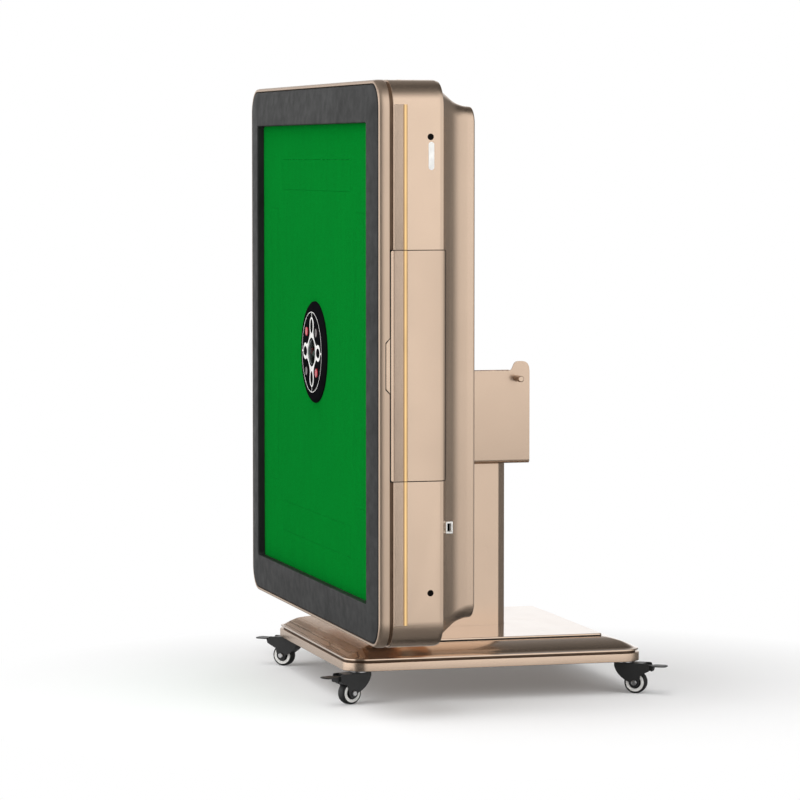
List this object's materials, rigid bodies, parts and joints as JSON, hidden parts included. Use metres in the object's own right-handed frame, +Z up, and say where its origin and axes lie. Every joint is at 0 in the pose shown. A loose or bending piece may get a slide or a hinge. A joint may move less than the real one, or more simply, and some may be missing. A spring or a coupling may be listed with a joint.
{
  "type": "folding automatic mahjong table",
  "caption": "Square powered tile-game table with a framed felt top, central dice console and side drawers, folded upright on a wheeled column stand.",
  "frame": {"origin": "on the floor under the middle of the base, between the casters", "axes": "+Z up, -Y the way the playing face looks when folded upright, +X to the right of that face seen from behind the stand"},
  "size_m": [0.96, 0.637, 1.082],
  "materials": {
    "metal_trim": "satin champagne anodised",
    "shell_paint": "satin champagne metallic paint",
    "stand_paint": "satin champagne metallic paint",
    "charcoal": "matte, softly grained",
    "felt": "short green nap",
    "console_black": "glossy",
    "console_print": "glossy black with white petal print",
    "dome": "smoked clear",
    "red_button": "glossy",
    "dark_button": "glossy",
    "black_plastic": "semi-gloss",
    "white_plastic": "satin",
    "steel": "brushed",
    "pad_rubber": "matte",
    "tyre": "smooth",
    "light": "amber light strip",
    "pattern": "fine cross-hatched champagne strip"
  },
  "bodies": {
    "stand": {"base_tray": "stand_paint", "base_cover": "stand_paint", "column_foot": "steel", "column": "stand_paint", "yoke": "stand_paint", "pivot_pin": "steel", "stop_bar": "stand_paint", "rest_pad": "pad_rubber", "caster_stem_front_right": "steel", "caster_stem_back_right": "steel", "caster_stem_back_left": "steel", "caster_stem_front_left": "steel"},
    "head": {"top_frame": "charcoal", "felt_board": "felt", "rim": "metal_trim", "side_band": "metal_trim", "back_shell": "shell_paint", "tilt_frame": "stand_paint", "service_port": "white_plastic", "power_inlet": "black_plastic", "drum_motor": "steel", "control_box": "black_plastic", "tile_chute_right": "steel", "tile_chute_back": "steel", "tile_chute_left": "steel", "tile_chute_front": "steel"},
    "drum": {"shuffle_drum": "white_plastic"},
    "console": {"console_body": "console_black", "console_face": "console_print", "dice_dome": "dome"},
    "button_red_1": {"button_red_1": "red_button"},
    "button_red_2": {"button_red_2": "red_button"},
    "button_dark_1": {"button_dark_1": "dark_button"},
    "button_dark_2": {"button_dark_2": "dark_button"},
    "drawer_right": {"drawer_right": "shell_paint"},
    "lift_right": {"tile_lift_right": "felt"},
    "drawer_back": {"drawer_back": "shell_paint"},
    "lift_back": {"tile_lift_back": "felt"},
    "drawer_left": {"drawer_left": "shell_paint"},
    "lift_left": {"tile_lift_left": "felt"},
    "drawer_front": {"drawer_front": "shell_paint"},
    "lift_front": {"tile_lift_front": "felt"},
    "swivel_front_right": {"caster_fork_front_right": "black_plastic", "caster_axle_front_right": "steel"},
    "wheel_front_right": {"caster_wheel_front_right": "tyre"},
    "pedal_front_right": {"brake_pedal_front_right": "black_plastic"},
    "swivel_back_right": {"caster_fork_back_right": "black_plastic", "caster_axle_back_right": "steel"},
    "wheel_back_right": {"caster_wheel_back_right": "tyre"},
    "pedal_back_right": {"brake_pedal_back_right": "black_plastic"},
    "swivel_back_left": {"caster_fork_back_left": "black_plastic", "caster_axle_back_left": "steel"},
    "wheel_back_left": {"caster_wheel_back_left": "tyre"},
    "pedal_back_left": {"brake_pedal_back_left": "black_plastic"},
    "swivel_front_left": {"caster_fork_front_left": "black_plastic", "caster_axle_front_left": "steel"},
    "wheel_front_left": {"caster_wheel_front_left": "tyre"},
    "pedal_front_left": {"brake_pedal_front_left": "black_plastic"}
  },
  "joints": [
    {"name": "head_tilt", "type": "hinge", "parent": "stand", "child": "head", "pos_m": [0, -0.0465, 0.5555], "axis": [-1, 0, 0], "range_deg": [0, 90]},
    {"name": "drum_spin", "type": "hinge", "parent": "head", "child": "drum", "pos_m": [0, -0.156, 0.602], "axis": [0, -1, 0], "continuous": true},
    {"name": "console_lift", "type": "slide", "parent": "head", "child": "console", "axis": [0, -1, 0], "range_m": [0, 0.06]},
    {"name": "press_red_1", "type": "slide", "parent": "console", "child": "button_red_1", "axis": [0, 1, 0], "range_m": [0, 0.002], "stiffness_N_per_m": 300, "springref_m": -0.001},
    {"name": "press_red_2", "type": "slide", "parent": "console", "child": "button_red_2", "axis": [0, 1, 0], "range_m": [0, 0.002], "stiffness_N_per_m": 300, "springref_m": -0.001},
    {"name": "press_dark_1", "type": "slide", "parent": "console", "child": "button_dark_1", "axis": [0, 1, 0], "range_m": [0, 0.002], "stiffness_N_per_m": 300, "springref_m": -0.001},
    {"name": "press_dark_2", "type": "slide", "parent": "console", "child": "button_dark_2", "axis": [0, 1, 0], "range_m": [0, 0.002], "stiffness_N_per_m": 300, "springref_m": -0.001},
    {"name": "slide_drawer_right", "type": "slide", "parent": "head", "child": "drawer_right", "axis": [1, 0, 0], "range_m": [0, 0.07]},
    {"name": "lower_lift_right", "type": "slide", "parent": "head", "child": "lift_right", "axis": [0, 1, 0], "range_m": [0, 0.045]},
    {"name": "slide_drawer_back", "type": "slide", "parent": "head", "child": "drawer_back", "axis": [0, 0, 1], "range_m": [0, 0.07]},
    {"name": "lower_lift_back", "type": "slide", "parent": "head", "child": "lift_back", "axis": [0, 1, 0], "range_m": [0, 0.045]},
    {"name": "slide_drawer_left", "type": "slide", "parent": "head", "child": "drawer_left", "axis": [-1, 0, 0], "range_m": [0, 0.07]},
    {"name": "lower_lift_left", "type": "slide", "parent": "head", "child": "lift_left", "axis": [0, 1, 0], "range_m": [0, 0.045]},
    {"name": "slide_drawer_front", "type": "slide", "parent": "head", "child": "drawer_front", "axis": [0, 0, -1], "range_m": [0, 0.012]},
    {"name": "lower_lift_front", "type": "slide", "parent": "head", "child": "lift_front", "axis": [0, 1, 0], "range_m": [0, 0.045]},
    {"name": "swivel_front_right", "type": "hinge", "parent": "stand", "child": "swivel_front_right", "pos_m": [0.244, -0.245, 0.05], "axis": [0, 0, 1], "continuous": true},
    {"name": "roll_front_right", "type": "hinge", "parent": "swivel_front_right", "child": "wheel_front_right", "pos_m": [0.25117, -0.26367, 0.02], "axis": [0.9336, 0.3584, 0], "continuous": true},
    {"name": "brake_front_right", "type": "hinge", "parent": "swivel_front_right", "child": "pedal_front_right", "pos_m": [0.25905, -0.28421, 0.0465], "axis": [0.9336, 0.3584, 0], "range_deg": [0, 14]},
    {"name": "swivel_back_right", "type": "hinge", "parent": "stand", "child": "swivel_back_right", "pos_m": [0.244, 0.245, 0.05], "axis": [0, 0, 1], "continuous": true},
    {"name": "roll_back_right", "type": "hinge", "parent": "swivel_back_right", "child": "wheel_back_right", "pos_m": [0.25489, 0.26177, 0.02], "axis": [-0.8387, 0.5446, 0], "continuous": true},
    {"name": "brake_back_right", "type": "hinge", "parent": "swivel_back_right", "child": "pedal_back_right", "pos_m": [0.26687, 0.28022, 0.0465], "axis": [-0.8387, 0.5446, 0], "range_deg": [0, 14]},
    {"name": "swivel_back_left", "type": "hinge", "parent": "stand", "child": "swivel_back_left", "pos_m": [-0.244, 0.245, 0.05], "axis": [0, 0, 1], "continuous": true},
    {"name": "roll_back_left", "type": "hinge", "parent": "swivel_back_left", "child": "wheel_back_left", "pos_m": [-0.25117, 0.26367, 0.02], "axis": [-0.9336, -0.3584, 0], "continuous": true},
    {"name": "brake_back_left", "type": "hinge", "parent": "swivel_back_left", "child": "pedal_back_left", "pos_m": [-0.25905, 0.28421, 0.0465], "axis": [-0.9336, -0.3584, 0], "range_deg": [0, 14]},
    {"name": "swivel_front_left", "type": "hinge", "parent": "stand", "child": "swivel_front_left", "pos_m": [-0.244, -0.245, 0.05], "axis": [0, 0, 1], "continuous": true},
    {"name": "roll_front_left", "type": "hinge", "parent": "swivel_front_left", "child": "wheel_front_left", "pos_m": [-0.25712, -0.26009, 0.02], "axis": [0.7547, -0.6561, 0], "continuous": true},
    {"name": "brake_front_left", "type": "hinge", "parent": "swivel_front_left", "child": "pedal_front_left", "pos_m": [-0.27155, -0.2767, 0.0465], "axis": [0.7547, -0.6561, 0], "range_deg": [0, 14]}
  ]
}
